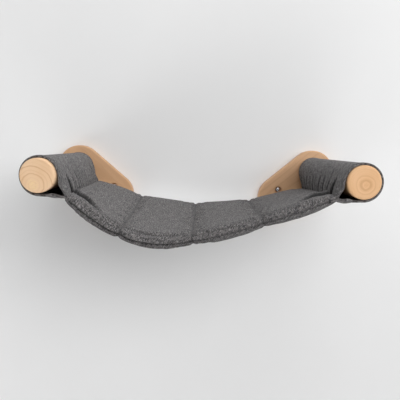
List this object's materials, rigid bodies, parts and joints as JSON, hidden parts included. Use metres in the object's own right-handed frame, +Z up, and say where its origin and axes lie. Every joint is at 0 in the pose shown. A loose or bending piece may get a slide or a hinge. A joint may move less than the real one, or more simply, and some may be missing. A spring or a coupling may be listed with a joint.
{
  "type": "wall mounted hammock",
  "caption": "Wall mounted pet hammock: pill-shaped wood boards carry round dowels, and a quilted fabric mat hangs between them by sleeves that slide off the front.",
  "frame": {"origin": "on the wall's face, midway between the two dowels' axes and at their height", "axes": "+X to the right as seen from the room, +Y into the wall, +Z up"},
  "size_m": [0.5548, 0.391, 0.1476],
  "materials": {
    "wood_board": "clear matt lacquer over pale wood",
    "wood_dowel": "clear matt lacquer over pale wood, end grain at the front",
    "fastener_zinc": "bright zinc plate",
    "insert_brass": "as turned",
    "anchor_nylon": "moulded nylon",
    "sleeve_fabric": "heathered dark grey linen weave",
    "cover_fabric": "heathered dark grey linen weave",
    "lining_fabric": "heathered dark grey linen weave",
    "wadding": "polyester wadding"
  },
  "bodies": {
    "wall_brackets": {"left_wall_board": "wood_board", "left_dowel": "wood_dowel", "left_threaded_insert": "insert_brass", "left_dowel_bolt": "fastener_zinc", "left_bolt_washer": "fastener_zinc", "left_wall_screw_upper": "fastener_zinc", "left_wall_anchor_upper": "anchor_nylon", "left_wall_screw_lower": "fastener_zinc", "left_wall_anchor_lower": "anchor_nylon", "right_wall_board": "wood_board", "right_dowel": "wood_dowel", "right_threaded_insert": "insert_brass", "right_dowel_bolt": "fastener_zinc", "right_bolt_washer": "fastener_zinc", "right_wall_screw_upper": "fastener_zinc", "right_wall_anchor_upper": "anchor_nylon", "right_wall_screw_lower": "fastener_zinc", "right_wall_anchor_lower": "anchor_nylon"},
    "hammock": {"left_sleeve": "sleeve_fabric", "right_sleeve": "sleeve_fabric", "mat_top_cover": "cover_fabric", "mat_bottom_cover": "lining_fabric", "mat_batting": "wadding"}
  },
  "joints": [
    {"name": "hammock_slide", "type": "slide", "parent": "wall_brackets", "child": "hammock", "axis": [0, -1, 0], "range_m": [-0.0035, 0.326]}
  ]
}
